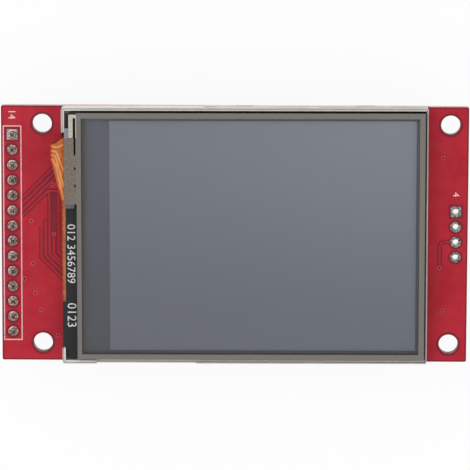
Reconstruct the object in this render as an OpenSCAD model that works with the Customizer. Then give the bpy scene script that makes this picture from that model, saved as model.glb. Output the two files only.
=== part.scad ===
// Touch display module: a 2.4 inch colour screen with a resistive touch panel on a printed
// circuit board, with a 14-way pin header and a memory-card socket on the back.
//
// Origin: centre of the four mounting holes, on the board's front face. +X runs along the
// board, away from the pin header, and +Z comes out of the screen. Millimetres.

/* [Board] */
// Width of the board, along Y
board_w = 42.7; // [39:0.1:48]
// From the display to the board's end at the pin header
header_end = 10.15; // [9.2:0.05:14]
// From the display to the board's end at the card port
port_end = 6.75; // [6.2:0.05:10]
// Thickness of the bare board
board_t = 1.6; // [0.8:0.1:2.4]
// Radius of the board's corners
board_corner_r = 0.3; // [0.1:0.1:1.5]
// Diameter of the mounting holes
hole_d = 3.2; // [2:0.1:3.4]
// From the mounting holes to the board's long sides, and to its end at the card port
hole_inset = 3; // [2.4:0.1:3.2]
// From the mounting holes at the pin header to the board's end there
header_hole_inset = 6.8; // [6.2:0.1:7.4]
// Thickness of the copper under the mask, and of the tinned lands
copper_t = 0.05; // [0.03:0.01:0.1]
// Thickness of the printed outlines
ink_t = 0.03; // [0.02:0.01:0.05]
// Width of the printed outlines
ink_w = 0.18; // [0.12:0.02:0.3]

/* [Pin header] */
// Number of pins
pin_count = 14; // [8:1:14]
// Distance between pins
pin_pitch = 2.54; // [2.5:0.02:2.54]
// From the row of pins to the end of the board
pin_inset = 1.83; // [1.7:0.01:2.4]
// Side of the square pins
pin_side = 0.64; // [0.5:0.01:0.7]
// Height of the moulded strip, and its width
strip_h = 2.54; // [2:0.02:3]
// Length of the pins below the strip
pin_below = 6; // [3:0.1:7]
// Length of the pins above the board's front face
pin_above = 1.1; // [0.9:0.1:1.4]
// Diameter of the tinned lands of the header and of the card port
land_d = 1.75; // [1.6:0.05:1.8]
// Bore of the plated holes
plated_d = 1; // [0.95:0.01:1.05]
// Wall of the plated barrels
plating_t = 0.05; // [0.03:0.01:0.06]

/* [Card port holes] */
// Number of open plated holes
port_count = 4; // [2:1:6]
// From the row of holes to the end of the board
port_inset = 2; // [1.4:0.1:2.4]
// Where the row's middle lies, along Y
port_y = 0.1; // [-1:0.1:1]

/* [Display] */
// Length of the steel tray, along X
tray_l = 60.3; // [59.6:0.1:61]
// From the tray's long sides to the board's
tray_inset = 0; // [0:0.05:1]
// Thickness of the tray's steel
tray_t = 0.2; // [0.15:0.01:0.25]
// Height of the tray's walls, floor included
tray_h = 2.85; // [2.7:0.05:3]
// How far the display is stuck off the board's middle, along Y
display_y = 0.13; // [-0.3:0.01:0.3]
// How far the display is stuck askew, in degrees
display_skew = 0.15; // [0:0.01:0.3]
// Thickness of the foam tape under the tray
foam_t = 0.5; // [0.4:0.05:0.8]
// Thickness of the moulded frame's wall inside the tray
frame_wall = 0.25; // [0.2:0.01:0.3]
// Width of the ledge for the driver chip, from the tray's edge to the touch panel
ledge_l = 2.54; // [2.5:0.01:2.7]
// Gap between the touch panel and the rim round it
panel_gap = 0.3; // [0.2:0.01:0.4]
// Width of the touch panel's border
border_w = 0.9; // [0.7:0.05:1.1]
// Width of the dark band beside the picture, at the ledge end
band_w = 4.6; // [3:0.1:6]
// Dark margin on the picture's other three sides
margin_w = 0.5; // [0.3:0.05:0.8]

/* [Display layers] */
// Thickness of each optical sheet behind the glass
sheet_t = 0.1; // [0.08:0.01:0.12]
// Thickness of the light guide
guide_t = 0.6; // [0.5:0.05:0.7]
// Thickness of each of the two glass plates
glass_t = 0.4; // [0.3:0.05:0.5]
// Thickness of each polarizer
polarizer_t = 0.15; // [0.1:0.01:0.18]
// Thickness of the touch panel's glass
touch_glass_t = 0.8; // [0.6:0.05:1.1]
// Thickness of the touch panel's top film
film_t = 0.2; // [0.15:0.01:0.25]
// Thickness of adhesive rings and thin tape
tape_t = 0.05; // [0.04:0.01:0.08]
// Height of the gasket between glass and touch panel
gasket_t = 0.35; // [0.3:0.01:0.5]
// Thickness of the flexes
flex_t = 0.1; // [0.08:0.01:0.14]

/* [Flexes] */
// Width of the main flex
main_flex_w = 16.3; // [15:0.1:17]
// Where the main flex's middle lies, along Y
main_flex_y = -2.9; // [-3.4:0.1:-2]
// Width of the touch tail where it leaves the panel
tail_root_w = 11; // [9:0.1:12]
// Width of the touch tail at its fold
tail_w = 2.9; // [2.6:0.1:3.6]
// From the middle of the touch tail's fold to the tray's long side beside it
tail_inset = 7.55; // [7:0.05:8]

/* [Card socket] */
// Length of the socket, along X
socket_l = 27.5; // [26:0.1:28]
// From the card to the outside of the socket, steel included
socket_side = 1.85; // [1.6:0.05:3]
// Thickness of the socket's floor under the card
socket_floor = 0.4; // [0.35:0.05:0.8]
// From the socket's mouth to the end of the board
socket_inset = 5.1; // [4.6:0.1:6]
// Width of the card that goes in
card_w = 24; // [22:0.1:26]
// Thickness of the card that goes in
card_t = 2.1; // [1.9:0.05:2.6]
// Thickness of the socket's steel cover
shell_t = 0.2; // [0.15:0.01:0.22]

/* [Hidden] */
$fn = 48;
eps = 0.01;
lap = 1;                 // how far a cutter runs past what it cuts

// Board
board_l = header_end + tray_l + port_end;
hole_pitch_x = board_l - hole_inset - header_hole_inset;
hole_pitch_y = board_w - 2 * hole_inset;
board_x1 = hole_pitch_x / 2 + hole_inset;
board_x0 = board_x1 - board_l;
header_x = board_x0 + pin_inset;
port_x = board_x1 - port_inset;
drill_d = plated_d + 2 * plating_t;
pour_edge = 0.25;        // bare rim round the copper
hole_clear = 0.4;        // bare ring round a mounting hole
land_clear = 0.32;       // bare ring round a land
track_w = 0.32;
track_gap = 0.22;

// Heights, from the board's front face up
z_tray = copper_t + foam_t;
z_floor = z_tray + tray_t;
z_rim = z_tray + tray_h;
z_guide = z_floor + sheet_t;
z_diffuser = z_guide + guide_t;
z_shelf = z_diffuser + 3 * sheet_t;
z_rear_polarizer = z_shelf + tape_t;
z_array = z_rear_polarizer + polarizer_t;
z_filter = z_array + glass_t;
z_front_polarizer = z_filter + glass_t;
z_touch = z_front_polarizer + gasket_t;
z_spacer = z_touch + touch_glass_t;
z_film = z_spacer + tape_t;

// Display outlines, from the tray's centre
tray_w = board_w - 2 * tray_inset;
display_x = board_x0 + header_end + tray_l / 2;
tray_x = tray_l / 2;
tray_y = tray_w / 2;
tray_r = 0.4;
fit = 0.05;              // clearance of parts dropped into the tray
rim_y = tray_y - tray_t - fit - frame_wall;
panel_x0 = ledge_l - tray_x;
panel_x1 = tray_x - tray_t - panel_gap;
panel_y = rim_y - panel_gap;
border_ledge_w = border_w - 0.15;
window_x0 = panel_x0 + border_ledge_w;
window_x1 = panel_x1 - border_w;
window_y = panel_y - border_w;
picture_x0 = window_x0 + band_w;
picture_x1 = window_x1 - margin_w;
picture_y = window_y - margin_w;
glass_x1 = panel_x1 - 0.2;
glass_y = panel_y - 0.1;
shelf_w = 1.2;
tail_y = tray_y - tail_inset;
notch_y1 = tray_y - 4.1;                     // the tray's open left wall, from end to end
notch_y0 = 2.6 - tray_y;
tab_l = 2.05;                                // how far the film's tab stands out of the panel
tab_y1 = notch_y1 - 0.85;
tab_y0 = tab_y1 - tail_root_w;

// Folded flexes: outer radius and centre of each fold
main_fold_r = (z_filter + flex_t - copper_t - 2 * tape_t) / 2;
main_fold_x = -tray_x - 0.05 + main_fold_r;
main_fold_z = z_filter + flex_t - main_fold_r;
tail_fold_r = (z_film - copper_t - 2 * tape_t) / 2;
tail_fold_x = panel_x0 - tab_l - 0.35;
tail_fold_z = z_film - tail_fold_r;
array_x0 = main_fold_x;
chip_w = 0.7;
chip_h = 0.3;
z_ledge_tape = z_filter + chip_h;

// Card socket
card_play = 0.15;
socket_x1 = board_x1 - socket_inset;
socket_x0 = socket_x1 - socket_l;
socket_w = card_w + 2 * (card_play + socket_side);
socket_h = socket_floor + card_play + card_t + shell_t;
z_back = -board_t;

// ---------- Shared shapes ----------

// A flat rectangle between two corners
module span2(x0, y0, x1, y1) {
    translate([x0, y0]) square([x1 - x0, y1 - y0]);
}

// A block between two corners
module span3(x0, y0, z0, x1, y1, z1) {
    translate([x0, y0, z0]) cube([x1 - x0, y1 - y0, z1 - z0]);
}

// A flat rectangle with round corners, centred
module round_rect(l, w, r) {
    square([l - 2 * r, w], center = true);
    square([l, w - 2 * r], center = true);
    for (sx = [-1, 1], sy = [-1, 1])
        translate([sx * (l / 2 - r), sy * (w / 2 - r)]) circle(r);
}

function unit(v) = v / norm(v);

// One side of a line through points, d to its left, with mitred corners
function path_side(points, d) =
    [for (i = [0:len(points) - 1])
        let (last = len(points) - 1,
            before = unit(points[max(i, 1)] - points[max(i, 1) - 1]),
            after = unit(points[min(i, last - 1) + 1] - points[min(i, last - 1)]),
            side = [-before.y, before.x],
            both = side + [-after.y, after.x])
        points[i] + both * d / (both * side)];

// A flat line of even width through points
module path2(points, w) {
    left = path_side(points, w / 2);
    right = path_side(points, -w / 2);
    polygon(concat(left, [for (i = [len(right) - 1:-1:0]) right[i]]));
}

// A profile in X and Z, swept along +Y
module sweep_y(y0, y1) {
    translate([0, y1, 0]) rotate([90, 0, 0]) linear_extrude(y1 - y0) children();
}

// Centre of the arc of radius r that sags below the chord from p to q
function arc_centre(p, q, r) =
    let (mid = (p + q) / 2, half = norm(q - p) / 2, dir = (q - p) / (2 * half))
    mid + sqrt(r * r - half * half) * [-dir.y, dir.x];

// Places the display on the board
module on_display() {
    translate([display_x, display_y, 0]) rotate(display_skew) children();
}

module at_mounting_holes() {
    for (sx = [-1, 1], sy = [-1, 1])
        translate([sx * hole_pitch_x / 2, sy * hole_pitch_y / 2]) children();
}

// Pin 1 is the topmost
function pin_y(i) = ((pin_count - 1) / 2 - i) * pin_pitch;
function port_hole_y(i) = port_y + ((port_count - 1) / 2 - i) * pin_pitch;

module at_pins() {
    for (i = [0:pin_count - 1]) translate([header_x, pin_y(i)]) children();
}

// Plan of one land, grown by a margin: the first of a row is square
module land_plan(first, grow = 0) {
    if (first) square(land_d + 2 * grow, center = true);
    else circle(d = land_d + 2 * grow);
}

module plated_land_plan(grow) {
    for (i = [0:pin_count - 1]) translate([header_x, pin_y(i)]) land_plan(i == 0, grow);
    for (i = [0:port_count - 1]) translate([port_x, port_hole_y(i)]) land_plan(i == 0, grow);
}

module at_port_holes() {
    for (i = [0:port_count - 1]) translate([port_x, port_hole_y(i)]) children();
}

// ---------- Board ----------

module board_outline(inset = 0) {
    translate([(board_x0 + board_x1) / 2, 0])
        round_rect(board_l - 2 * inset, board_w - 2 * inset, board_corner_r);
}

module circuit_board() {
    color("firebrick") translate([0, 0, z_back]) linear_extrude(board_t)
        difference() {
            board_outline();
            at_mounting_holes() circle(d = hole_d);
            at_pins() circle(d = drill_d);
            at_port_holes() circle(d = drill_d);
        }
}

// Where the tray's left edge crosses the board: the tracks' reference
edge_x = display_x - tray_x;

// Four tracks that climb from the header to the display, lowest first
climb_count = 4;
climb_pitch = 0.99;
climb_x0 = header_x + 1.6;
climb_y0 = 3.25;
climb_in = 0.5;          // each track's first, nearly level stretch
climb_rise = 3.75;       // how far the lowest one climbs before it turns level
under = 2;               // how far the tracks reach under the display
function climb_track(k) =
    let (y = climb_y0 + k * climb_pitch + 0.1,
        top = climb_x0 + climb_in + climb_rise,
        rest = edge_x + under - top)
    [[climb_x0, y - 0.3], [climb_x0 + climb_in, y], [top, y + climb_rise],
        [edge_x + under, y + climb_rise + (k == 0 ? 0.1 : rest)]];

// Tracks that come down beside the display and turn under it
down_tracks = [
    [[-3.55, 1.1], [-3.55, -4.05], [1, -8.6]],
    [[-3.3, 2.2], [-2.85, 2.05], [-2.85, -3.8], [1, -7.65]],
    [[-2.6, 7], [-2.2, 6.6], [-2.2, -3.45], [1, -6.65]],
    [[-1.5, -0.1], [-1.5, -3.45], [1, -5.95]],
    [[-0.7, 7.3], [-0.7, -3.2], [1, -4.9]]];

// The track from the third port hole down to its via
port_track = [[port_x - 0.9, port_hole_y(2)], [port_x - 1.73, port_hole_y(2) + 0.08],
    [port_x - 2.36, port_hole_y(2) - 0.16], [port_x - 2.6, port_hole_y(2) - 0.65],
    [port_x - 2.6, port_hole_y(2) - 4.3]];

bare_w = 1.5;            // stretch without copper beside the display
bare_l = 7;
bare_gap = 1;

module front_tracks(w) {
    for (k = [0:climb_count - 1]) path2(climb_track(k), w);
    for (t = down_tracks) path2([for (p = t) p + [edge_x, 0]], w);
    path2(port_track, w);
}

module front_copper() {
    color("crimson") linear_extrude(copper_t) {
        difference() {
            board_outline(pour_edge);
            at_mounting_holes() circle(d = hole_d + 2 * hole_clear);
            plated_land_plan(land_clear);
            front_tracks(track_w + 2 * track_gap);
            span2(edge_x - bare_w - bare_gap, 0, edge_x - bare_gap, bare_l);
        }
        difference() {
            front_tracks(track_w);
            plated_land_plan(0);
        }
    }
}

// Vias: from the pin row, from the display's edge, then from the port row
header_vias = [[3.12, 2.06], [3.31, -5.08], [3.73, -10.05], [1.95, -7.63]];
display_vias = [[-1.72, 8.21], [-3.62, -12.9], [-1.48, -0.1], [-0.9, -17.2]];
port_vias = [[-2.2, 12.9], [-2.6, port_hole_y(2) - 4.33], [-2.05, -12.7]];
via_d = 0.75;

module at_vias() {
    for (v = header_vias) translate(v + [header_x, 0]) children();
    for (v = display_vias) translate(v + [edge_x, 0]) children();
    for (v = port_vias) translate(v + [port_x, 0]) children();
}

module via_rings() {
    color("indianred") at_vias() {
        translate([0, 0, copper_t]) cylinder(d = via_d, h = ink_t);
        translate([0, 0, z_back - copper_t - ink_t]) cylinder(d = via_d, h = ink_t);
    }
}

module ink_frame(x0, y0, x1, y1) {
    difference() {
        span2(x0, y0, x1, y1);
        span2(x0 + ink_w, y0 + ink_w, x1 - ink_w, y1 - ink_w);
    }
}

header_ink_w = 3.1;
header_ink_end = 1.5;    // from the last pins to the printed outline

module header_ink() {
    ink_frame(header_x - header_ink_w / 2, pin_y(pin_count - 1) - header_ink_end,
        header_x + header_ink_w / 2, pin_y(0) + header_ink_end);
}

module front_silkscreen() {
    color("mistyrose") translate([0, 0, copper_t]) linear_extrude(ink_t) header_ink();
}

// One plated hole with a land on both faces
module plated_hole(first) {
    difference() {
        union() {
            for (z = [0, z_back - copper_t])
                translate([0, 0, z]) linear_extrude(copper_t) land_plan(first);
            translate([0, 0, z_back - copper_t]) cylinder(d = drill_d, h = board_t + copper_t + eps);
        }
        translate([0, 0, z_back - lap]) cylinder(d = plated_d, h = board_t + 2 * lap);
    }
}

module header_lands() {
    color("silver") for (i = [0:pin_count - 1])
        translate([header_x, pin_y(i), 0]) plated_hole(i == 0);
}

module card_port_lands() {
    color("silver") for (i = [0:port_count - 1])
        translate([port_x, port_hole_y(i), 0]) plated_hole(i == 0);
}

// ---------- Pin header ----------

strip_end = 0.02;        // gap between neighbouring pin housings
strip_chamfer = 0.45;

// The strip is a row of eight-sided housings joined by a narrower spine
module header_body() {
    top = z_back - copper_t;
    housing = pin_pitch / 2 - strip_end;
    half = strip_h / 2;
    color([0.1, 0.1, 0.11]) difference() {
        union() {
            for (i = [0:pin_count - 1])
                translate([header_x, pin_y(i), top - strip_h]) linear_extrude(strip_h)
                    polygon([[-half, -housing + strip_chamfer], [-half + strip_chamfer, -housing],
                        [half - strip_chamfer, -housing], [half, -housing + strip_chamfer],
                        [half, housing - strip_chamfer], [half - strip_chamfer, housing],
                        [-half + strip_chamfer, housing], [-half, housing - strip_chamfer]]);
            span3(header_x - half + strip_chamfer, pin_y(pin_count - 1), top - strip_h,
                header_x + half - strip_chamfer, pin_y(0), top);
        }
        for (i = [0:pin_count - 1])
            translate([header_x, pin_y(i), top - strip_h / 2])
                cube([pin_side, pin_side, strip_h + lap], center = true);
    }
}

pin_tip = 0.25;          // length of the pointed end

module header_pin() {
    z0 = z_back - copper_t - strip_h - pin_below;
    s = pin_side / 2;
    n = s / 2;
    intersection() {
        sweep_y(-s, s) polygon([[-n, z0], [n, z0], [s, z0 + pin_tip], [s, pin_above - pin_tip],
            [n, pin_above], [-n, pin_above], [-s, pin_above - pin_tip], [-s, z0 + pin_tip]]);
        rotate(90) sweep_y(-s, s) polygon([[-n, z0], [n, z0], [s, z0 + pin_tip],
            [s, pin_above - pin_tip], [n, pin_above], [-n, pin_above],
            [-s, pin_above - pin_tip], [-s, z0 + pin_tip]]);
    }
}

module header_pins() {
    color("gainsboro") at_pins() header_pin();
}

fillet_h = 0.75;         // how far the solder climbs the pin
fillet_r = 1;            // radius of its hollow side

// Solder fills the plated hole and climbs the pin in a hollow cone
module header_solder() {
    foot = [land_d / 2 - 0.06, copper_t + 0.03];
    crest = [pin_side / 2 + 0.12, copper_t + fillet_h];
    hollow = arc_centre(crest, foot, fillet_r);
    color("lightgray") at_pins() difference() {
        union() {
            rotate_extrude() difference() {
                polygon([[0, copper_t], [foot.x, copper_t], foot, [foot.x, crest.y],
                    [0, crest.y]]);
                translate(hollow) circle(fillet_r);
            }
            translate([0, 0, z_back - copper_t])
                cylinder(d = plated_d, h = board_t + 2 * copper_t + eps);
        }
        cube([pin_side, pin_side, 4 * board_t], center = true);
    }
}

// ---------- Display: tray, frame and backlight ----------

foam_w = 5;
foam_inset = 0.4;
foam_x0 = 10.15 - tray_x;    // the tape stops short of the folded flexes
foam_step = 0.6;

module foam_tape() {
    color("whitesmoke") on_display() translate([0, 0, copper_t]) linear_extrude(foam_t)
        difference() {
            span2(foam_x0, foam_inset + foam_step - tray_y, tray_x - foam_inset,
                tray_y - foam_inset - foam_step);
            span2(foam_x0 - lap, foam_inset - tray_y + foam_w, tray_x - foam_w,
                tray_y - foam_inset - foam_w);
        }
}

floor_notch = 0.95;      // how far the floor is cut back for the folded flexes
hook_l = 3;              // windows for the moulded frame's hooks
hook_h = 0.7;
hook_z = z_floor + 0.35;
hook_x = [for (i = [-1:1]) i * tray_x * 2 / 3];
seam_h = 0.22;           // narrow seam along the outside of the long wall
seam_z = z_tray + 1.35;
seam_x = [[-6.6, -5.6], [-5.2, -4.7], [12.6, 14.6], [18.2, 19.2], [23.9, 28.2]];
step_x0 = -6.7;          // from here on, the wall's lower half stands proud
step_out = 0.12;
low_x = [-24.5, -8];     // the lower stretch of the other long wall
low_drop = 1;
thin_drop = 0.25;

module display_tray() {
    color("silver") on_display() difference() {
        union() {
            translate([0, 0, z_tray]) linear_extrude(tray_h) round_rect(tray_l, tray_w, tray_r);
            span3(step_x0, tray_y - tray_t, z_tray, tray_x - tray_r, tray_y + step_out, seam_z);
        }
        translate([0, 0, z_floor]) linear_extrude(tray_h)
            round_rect(tray_l - 2 * tray_t, tray_w - 2 * tray_t, tray_r - tray_t);
        span3(-tray_x - lap, notch_y0, z_tray - lap, -tray_x + floor_notch, notch_y1, z_rim + lap);
        for (x = hook_x, s = [-1, 1])
            translate([x, s * tray_y, hook_z]) cube([hook_l, 2, hook_h], center = true);
        for (x = seam_x)
            span3(x[0], tray_y - tray_t - 0.1, seam_z, x[1], tray_y + lap, seam_z + seam_h);
        span3(low_x[0], -tray_y - lap, z_rim - low_drop, low_x[1], -rim_y, z_rim + lap);
        span3(low_x[1], -tray_y - lap, z_rim - thin_drop, tray_x - tray_r, -rim_y, z_rim + lap);
    }
}

frame_x = tray_x - tray_t - fit;
frame_y = tray_y - tray_t - fit;
led_x0 = -tray_x + 1.3;
led_l = 1.1;

module backlight_frame() {
    color("white") on_display() difference() {
        union() {
            // a wall of even width on a shelf, both round-cornered
            translate([0, 0, z_floor]) linear_extrude(z_rim - 0.1 - z_floor)
                round_rect(2 * frame_x, 2 * frame_y, tray_r - tray_t);
            for (x = hook_x, s = [-1, 1])
                translate([x, s * (frame_y + (tray_t + fit) / 2), hook_z])
                    cube([hook_l - 0.2, tray_t + fit, hook_h - 0.2], center = true);
        }
        span3(-frame_x + frame_wall, -rim_y, z_shelf, frame_x + lap, rim_y, z_rim);
        // opening for the light guide and the lamps
        span3(led_x0, shelf_w - frame_y, z_floor - lap, frame_x - shelf_w, frame_y - shelf_w,
            z_shelf + lap);
        // the folded flexes pass the left edge
        span3(-frame_x - lap, notch_y0, z_floor - lap, -tray_x + floor_notch, notch_y1, z_rim);
        // the lower stretch of the long wall
        span3(low_x[0], -frame_y - lap, z_rim - low_drop - 0.1, low_x[1], -rim_y + eps, z_rim);
        span3(low_x[1], -frame_y - lap, z_rim - thin_drop - 0.3, frame_x + lap, -rim_y + eps,
            z_rim);
    }
}

guide_x0 = led_x0 + led_l + 0.1;
guide_x1 = frame_x - shelf_w - fit;
guide_y = frame_y - shelf_w - fit;

module backlight_sheet(x0, z, t) {
    on_display() span3(x0, -guide_y, z, guide_x1, guide_y, z + t);
}

module reflector_sheet() {
    color("white") backlight_sheet(led_x0 + fit, z_floor, sheet_t);
}

module light_guide() {
    color("azure") backlight_sheet(guide_x0, z_guide, guide_t);
}

module diffuser_sheet() {
    color("ivory") backlight_sheet(guide_x0, z_diffuser, sheet_t);
}

module lower_prism_sheet() {
    color("lightcyan") backlight_sheet(guide_x0, z_diffuser + sheet_t, sheet_t);
}

module upper_prism_sheet() {
    color("lightcyan") backlight_sheet(guide_x0, z_diffuser + 2 * sheet_t, sheet_t);
}

led_count = 4;
led_w = 3;
led_flex_x1 = led_x0 + fit + led_l;

module backlight_leds() {
    color("lemonchiffon") on_display() for (i = [0:led_count - 1]) {
        y = (i - (led_count - 1) / 2) * 2 * guide_y / led_count;
        span3(led_x0 + fit, y - led_w / 2, z_guide, led_x0 + fit + led_l, y + led_w / 2,
            z_diffuser);
    }
}

module led_flex() {
    color("goldenrod") on_display()
        span3(led_x0 + fit, -guide_y, z_diffuser, led_flex_x1, guide_y, z_diffuser + flex_t);
}

tape_inner = 0.6;        // how far the black rim tape hides the shelf's inner edge

module rim_tape() {
    color([0.08, 0.08, 0.08]) on_display() translate([0, 0, z_shelf]) linear_extrude(tape_t)
        difference() {
            span2(array_x0 + 0.3, -rim_y + fit, frame_x - 0.1, rim_y - fit);
            span2(guide_x0 + tape_inner, -guide_y + tape_inner, guide_x1 - tape_inner,
                guide_y - tape_inner);
        }
}

// ---------- Display: glass ----------

module rear_polarizer() {
    color("dimgray") on_display()
        span3(guide_x0, -glass_y + 0.3, z_rear_polarizer, glass_x1 - 0.3, glass_y - 0.3, z_array);
}

module array_glass() {
    color("lightslategray") on_display()
        span3(array_x0, -glass_y, z_array, glass_x1, glass_y, z_filter);
}

filter_x0 = panel_x0 + 0.15;

module filter_glass() {
    color("slategray") on_display()
        span3(filter_x0, -glass_y, z_filter, glass_x1, glass_y, z_front_polarizer);
}

module front_polarizer() {
    color("lightsteelblue") on_display()
        span3(picture_x0, -picture_y, z_front_polarizer, picture_x1, picture_y,
            z_front_polarizer + polarizer_t);
}

chip_end = 0.15;         // from the chip's end to the main flex's side
chip_l = main_flex_w - 2 * chip_end;

module driver_chip() {
    color([0.25, 0.25, 0.28]) on_display()
        span3(filter_x0 - 0.15 - chip_w, main_flex_y - chip_l / 2, z_filter, filter_x0 - 0.15,
            main_flex_y + chip_l / 2, z_ledge_tape);
}

tape_x0 = -tray_x + 0.75;
tape_wrap_y = [notch_y0 + 0.05, main_flex_y - main_flex_w / 2 - 0.05];

// Black tape over the chip: it reaches out to the edge beside the main flex
module ledge_tape() {
    color([0.13, 0.13, 0.13]) on_display() translate([0, 0, z_ledge_tape]) linear_extrude(tape_t) {
        span2(tape_x0, -panel_y - 0.05, panel_x0 + 0.05, panel_y - 0.25);
        span2(-tray_x + 0.05, tape_wrap_y[0], tape_x0 + eps, tape_wrap_y[1]);
    }
}

// ---------- Display: flexes ----------

// Section of a flex folded back under the display: two leaves and a half-round fold
module fold_profile(fold_x, fold_z, fold_r, top_x1, bottom_x1, t) {
    difference() {
        circle_at(fold_x, fold_z, fold_r);
        circle_at(fold_x, fold_z, fold_r - t);
        span2(fold_x, fold_z - fold_r - lap, fold_x + fold_r + lap, fold_z + fold_r + lap);
    }
    span2(fold_x, fold_z + fold_r - t, top_x1, fold_z + fold_r);
    span2(fold_x, fold_z - fold_r, bottom_x1, fold_z - fold_r + t);
}

module circle_at(x, y, r) {
    translate([x, y]) circle(r);
}

main_top_x1 = filter_x0 - 0.25 - chip_w;
main_bottom_x1 = 8.15 - tray_x;

module display_flex() {
    color("peru") on_display()
        sweep_y(main_flex_y - main_flex_w / 2, main_flex_y + main_flex_w / 2)
            fold_profile(main_fold_x, main_fold_z, main_fold_r, main_top_x1, main_bottom_x1,
                flex_t);
}

main_ways = 18;
main_way_pitch = 0.8;
main_way_w = 0.5;
main_way_l = 1.4;

// Solder between the folded flex and the board
module solder_row(x, y, ways, pitch, w, l, t) {
    for (i = [0:ways - 1])
        translate([x, y + (i - (ways - 1) / 2) * pitch, copper_t])
            translate([-l / 2, -w / 2, 0]) cube([l, w, t]);
}

module display_flex_solder() {
    color("lightgray") on_display()
        solder_row(main_bottom_x1 - main_way_l / 2 - fit, main_flex_y, main_ways, main_way_pitch,
            main_way_w, main_way_l, 2 * tape_t);
}

tail_bottom_x1 = 4.65 - tray_x;
tail_reach_x = tail_fold_x - tail_fold_r - lap;
tab_x0 = panel_x0 - tab_l;
tail_top_x1 = panel_x0 - 0.6;
shoulder_x = tail_fold_x - tail_fold_r + 0.15;

// Plan of the touch tail above the fold's middle: it narrows from the tab to the fold
module tail_plan() {
    y0 = tail_y - tail_w / 2;
    y1 = tail_y + tail_w / 2;
    polygon([[tail_reach_x, y0], [shoulder_x, y0], [shoulder_x + 0.75, tail_y - 4.2],
        [tab_x0 - 0.25, tab_y0 + 0.1], [tail_top_x1, tab_y0 + 0.1], [tail_top_x1, tab_y1 - 0.1],
        [tab_x0 - 0.35, tab_y1 - 0.1], [shoulder_x + 0.7, y1 + 0.25], [shoulder_x, y1],
        [tail_reach_x, y1]]);
}

// Cuts a swept fold to the tail's plan above the fold, and to its width below
module tail_cut() {
    intersection() {
        children();
        union() {
            translate([0, 0, tail_fold_z]) linear_extrude(tail_fold_r + lap) tail_plan();
            span3(tail_reach_x, tail_y - tail_w / 2, copper_t, tail_bottom_x1 + lap,
                tail_y + tail_w / 2, tail_fold_z);
        }
    }
}

module touch_flex() {
    color("sandybrown") on_display() tail_cut()
        sweep_y(tab_y0, tab_y1)
            fold_profile(tail_fold_x, tail_fold_z, tail_fold_r, tail_top_x1, tail_bottom_x1,
                flex_t);
}

way_count = 4;
way_pitch = 0.72;
way_w = 0.34;
way_l = 1.5;             // length of each soldered end
way_t = 0.03;
// Where each track reaches the tab, topmost first, down from the tab's top edge
way_drop = [1, 5.4, 8.1, 10.3];

function way_y(i) = tail_y + ((way_count - 1) / 2 - i) * way_pitch;

module way_plan(i) {
    x0 = shoulder_x;
    path2([[tail_reach_x, way_y(i)], [x0 + 0.3 + 0.25 * (3 - i), way_y(i)],
        [x0 + 0.75 + 0.2 * (3 - i), way_y(i) - (i == 0 ? -0.1 : 0.9)],
        [tab_x0 - 0.06, tab_y1 - way_drop[i]]], way_w);
}

// Copper tracks that stand a little proud on the outside of the touch tail
module touch_flex_tracks() {
    color("darkorange") on_display() intersection() {
        sweep_y(tab_y0, tab_y1) difference() {
            fold_profile(tail_fold_x, tail_fold_z, tail_fold_r + way_t, tab_x0 - 0.06,
                tail_fold_x + 0.5, way_t);
        }
        union() for (i = [0:way_count - 1]) {
            translate([0, 0, tail_fold_z]) linear_extrude(tail_fold_r + lap) way_plan(i);
            span3(tail_reach_x, way_y(i) - way_w / 2, copper_t, tail_fold_x + 0.5,
                way_y(i) + way_w / 2, tail_fold_z);
        }
    }
}

module touch_flex_solder() {
    color("lightgray") on_display()
        solder_row(tail_bottom_x1 - way_l / 2 - fit, tail_y, way_count, way_pitch, way_w, way_l,
            2 * tape_t);
}

// ---------- Touch panel ----------

module panel_ring(x0, x1, y) {
    difference() {
        span2(x0, -y, x1, y);
        span2(window_x0, -window_y, window_x1, window_y);
    }
}

module touch_gasket() {
    color([0.15, 0.15, 0.15]) on_display() translate([0, 0, z_front_polarizer])
        linear_extrude(gasket_t) panel_ring(filter_x0, glass_x1, glass_y);
}

module touch_glass() {
    color([0.6, 0.65, 0.68]) on_display()
        span3(panel_x0, -panel_y, z_touch, panel_x1, panel_y, z_spacer);
}

module touch_spacer() {
    color([0.48, 0.46, 0.43]) on_display() translate([0, 0, z_spacer]) linear_extrude(tape_t)
        panel_ring(panel_x0, panel_x1, panel_y);
}

slit_x = [panel_x0 - 0.58, panel_x0 - 0.15];
slit_end = 0.57;         // film left between the slit and the corner piece's top edge
corner_x0 = panel_x0 - 1.3;
corner_y1 = panel_y - 0.25;

// The top film: the panel's rectangle, the tab that carries the tail, and the corner piece
// beside it, with a slit between them and the panel
module touch_film() {
    color([0.45, 0.47, 0.5]) on_display() translate([0, 0, z_film]) linear_extrude(film_t)
        difference() {
            union() {
                span2(panel_x0, -panel_y, panel_x1, panel_y);
                span2(tab_x0, tab_y0, panel_x0 + eps, tab_y1);
                span2(corner_x0, tab_y1 - eps, panel_x0 + eps, corner_y1);
            }
            span2(slit_x[0], tab_y1, slit_x[1], corner_y1 - slit_end);
            span2(slit_x[0] + 0.13, tab_y1 - 2.8, slit_x[1], tab_y1 + eps);
            for (y = [tail_y - 2.4, tail_y - 5.25])
                span2(slit_x[0] + 0.17, y - 0.25, slit_x[1], y + 0.2);
        }
}

// Silver-ink conductor under the film's corner piece
module touch_busbar() {
    color("lightgray") on_display() translate([0, 0, z_spacer]) linear_extrude(tape_t) {
        span2(corner_x0 + 0.02, tab_y1 + 0.1, slit_x[0], corner_y1 - 0.02);
        span2(slit_x[0] - eps, corner_y1 - slit_end, panel_x0 - 0.02, corner_y1 - 0.02);
    }
}

// ---------- Card socket ----------

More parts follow.
